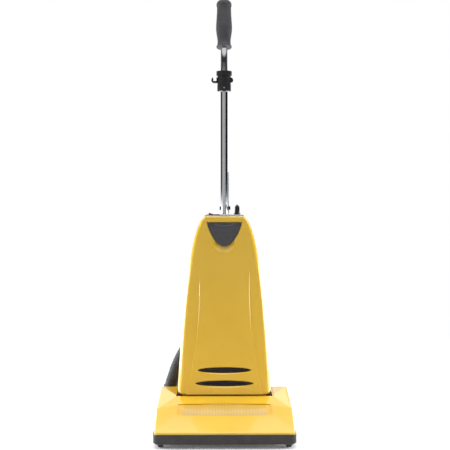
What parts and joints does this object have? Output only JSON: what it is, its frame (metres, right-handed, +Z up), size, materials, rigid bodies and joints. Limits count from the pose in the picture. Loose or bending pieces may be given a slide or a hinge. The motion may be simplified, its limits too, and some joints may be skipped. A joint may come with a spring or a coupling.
{
  "type": "upright vacuum cleaner",
  "caption": "Upright vacuum cleaner with a wide brush nozzle, tilting yellow body, latched bag door, chrome handle, external hose and crevice tool.",
  "frame": {"origin": "centre of the footprint on the floor, under the middle of the overall box", "axes": "+Z up; -Y towards the front of the nozzle; +X to the right seen from the front"},
  "size_m": [0.37, 0.3544, 1.2171],
  "materials": {
    "yellow_plastic": "glossy moulded ABS",
    "dark_plastic": "fine grained moulding",
    "bumper_vinyl": "soft satin vinyl",
    "lens_plastic": "translucent frosted lens",
    "white_plastic": "plain moulding",
    "zinc_steel": "zinc plated",
    "spring_steel": "drawn wire",
    "belt_rubber": "moulded rubber",
    "brush_wood": "turned beech",
    "bristle_nylon": "nylon tufts",
    "tyre_rubber": "grey-black rubber",
    "iron_core": "stacked sheet steel",
    "carbon": "brass brush holders",
    "fan_aluminium": "pressed sheet",
    "foam": "open-cell foam",
    "bag_paper": "filter paper",
    "bag_card": "pressed card",
    "filter_paper": "pleated filter web",
    "grey_plastic": "light grey moulding",
    "black_plastic": "gloss black moulding",
    "red_plastic": "gloss red moulding",
    "chrome_tube": "polished chrome plating",
    "grip_rubber": "soft ribbed grip",
    "hose_plastic": "ribbed flexible hose",
    "latch_plastic": "blue-grey satin moulding",
    "gasket_foam": "closed-cell foam"
  },
  "bodies": {
    "base": {"chassis": "dark_plastic", "hood": "yellow_plastic", "bumper": "bumper_vinyl", "headlight_lens": "lens_plastic", "headlight_lamps": "white_plastic", "bottom_plate": "zinc_steel", "base_screws": "zinc_steel", "brush_bearings": "black_plastic", "drive_belt": "belt_rubber", "pivot_clamps": "zinc_steel", "wheel_pins": "zinc_steel", "hose_port": "dark_plastic", "pedal_spring": "spring_steel", "hose_lower": "hose_plastic"},
    "pedal": {"release_pedal": "yellow_plastic"},
    "brush": {"brush_roll": "brush_wood", "brush_bristles": "bristle_nylon"},
    "wheel_left": {"rear_wheel_left": "dark_plastic", "rear_tyre_left": "tyre_rubber"},
    "wheel_right": {"rear_wheel_right": "dark_plastic", "rear_tyre_right": "tyre_rubber"},
    "roller_left": {"front_roller_left": "dark_plastic"},
    "roller_right": {"front_roller_right": "dark_plastic"},
    "upright": {"rear_housing": "yellow_plastic", "motor_pod": "dark_plastic", "motor_field": "iron_core", "motor_bearings": "zinc_steel", "carbon_brushes": "carbon", "motor_filter": "foam", "filter_grille": "dark_plastic", "filter_bag": "bag_paper", "bag_collar": "bag_card", "bag_mount": "dark_plastic", "hose_inlet": "dark_plastic", "exhaust_filter": "filter_paper", "switch_plate": "grey_plastic", "switch_body": "black_plastic", "handle_lower": "chrome_tube", "handle_upper": "chrome_tube", "handle_collar": "black_plastic", "handle_bolts": "zinc_steel", "grip": "grip_rubber", "hose_upper": "hose_plastic", "crevice_tool": "grey_plastic", "tool_holders": "black_plastic", "hose_ring": "yellow_plastic", "door_gasket": "gasket_foam", "cord_gland": "belt_rubber"},
    "rotor": {"armature": "iron_core", "motor_fan": "fan_aluminium", "motor_pulley": "zinc_steel"},
    "door": {"bag_door": "yellow_plastic", "vent_grille": "black_plastic", "door_hinge_pin": "zinc_steel", "latch_spring": "spring_steel"},
    "latch": {"latch": "latch_plastic"},
    "rocker": {"rocker": "red_plastic"},
    "exhaust_cover": {"exhaust_cover": "yellow_plastic"},
    "upper_hook": {"upper_cord_hook": "black_plastic"},
    "lower_hook": {"lower_cord_hook": "black_plastic"}
  },
  "joints": [
    {"name": "recline", "type": "hinge", "parent": "base", "child": "upright", "pos_m": [0, 0.09775, 0.066], "axis": [-1, 0, 0], "range_deg": [0, 65], "deforming": ["hose_lower"]},
    {"name": "bag_door", "type": "hinge", "parent": "upright", "child": "door", "pos_m": [0, -0.015, 0.11056], "axis": [1, 0, 0], "range_deg": [0, 60]},
    {"name": "latch", "type": "hinge", "parent": "door", "child": "latch", "pos_m": [0, -0.00165, 0.56737], "axis": [-1, 0, 0], "range_deg": [0, 22], "stiffness_Nm_per_rad": 0.05},
    {"name": "power_rocker", "type": "hinge", "parent": "upright", "child": "rocker", "pos_m": [-0.03, 0.03975, 0.593], "axis": [0, -1, 0], "range_deg": [0, 16]},
    {"name": "exhaust_cover", "type": "slide", "parent": "upright", "child": "exhaust_cover", "axis": [0.9936, 0, 0.1132], "range_m": [0, 0.03]},
    {"name": "upper_hook", "type": "hinge", "parent": "upright", "child": "upper_hook", "pos_m": [0, 0.10275, 0.979], "axis": [0, 0, 1], "range_deg": [0, 180]},
    {"name": "lower_hook", "type": "hinge", "parent": "upright", "child": "lower_hook", "pos_m": [0.037, 0.07275, 0.6], "axis": [0, 0, 1], "range_deg": [0, 180]},
    {"name": "release_pedal", "type": "hinge", "parent": "base", "child": "pedal", "pos_m": [0.1565, -0.03125, 0.081], "axis": [-1, 0, 0], "range_deg": [0, 6], "stiffness_Nm_per_rad": 0.6, "deforming": ["pedal_spring"]},
    {"name": "rear_wheel_left_spin", "type": "hinge", "parent": "base", "child": "wheel_left", "pos_m": [-0.165, 0.11375, 0.03], "axis": [1, 0, 0], "continuous": true},
    {"name": "rear_wheel_right_spin", "type": "hinge", "parent": "base", "child": "wheel_right", "pos_m": [0.165, 0.11375, 0.03], "axis": [1, 0, 0], "continuous": true},
    {"name": "front_roller_left_spin", "type": "hinge", "parent": "base", "child": "roller_left", "pos_m": [-0.1665, -0.15325, 0.011], "axis": [1, 0, 0], "continuous": true},
    {"name": "front_roller_right_spin", "type": "hinge", "parent": "base", "child": "roller_right", "pos_m": [0.1665, -0.15325, 0.011], "axis": [1, 0, 0], "continuous": true},
    {"name": "motor_spin", "type": "hinge", "parent": "upright", "child": "rotor", "pos_m": [0, 0.09775, 0.066], "axis": [1, 0, 0], "continuous": true},
    {"name": "brush_spin", "type": "hinge", "parent": "base", "child": "brush", "pos_m": [0, -0.11925, 0.0295], "axis": [1, 0, 0], "continuous": true}
  ],
  "couplings": [
    {"joint": "motor_spin", "follows": "brush_spin", "ratio": 1.875}
  ]
}
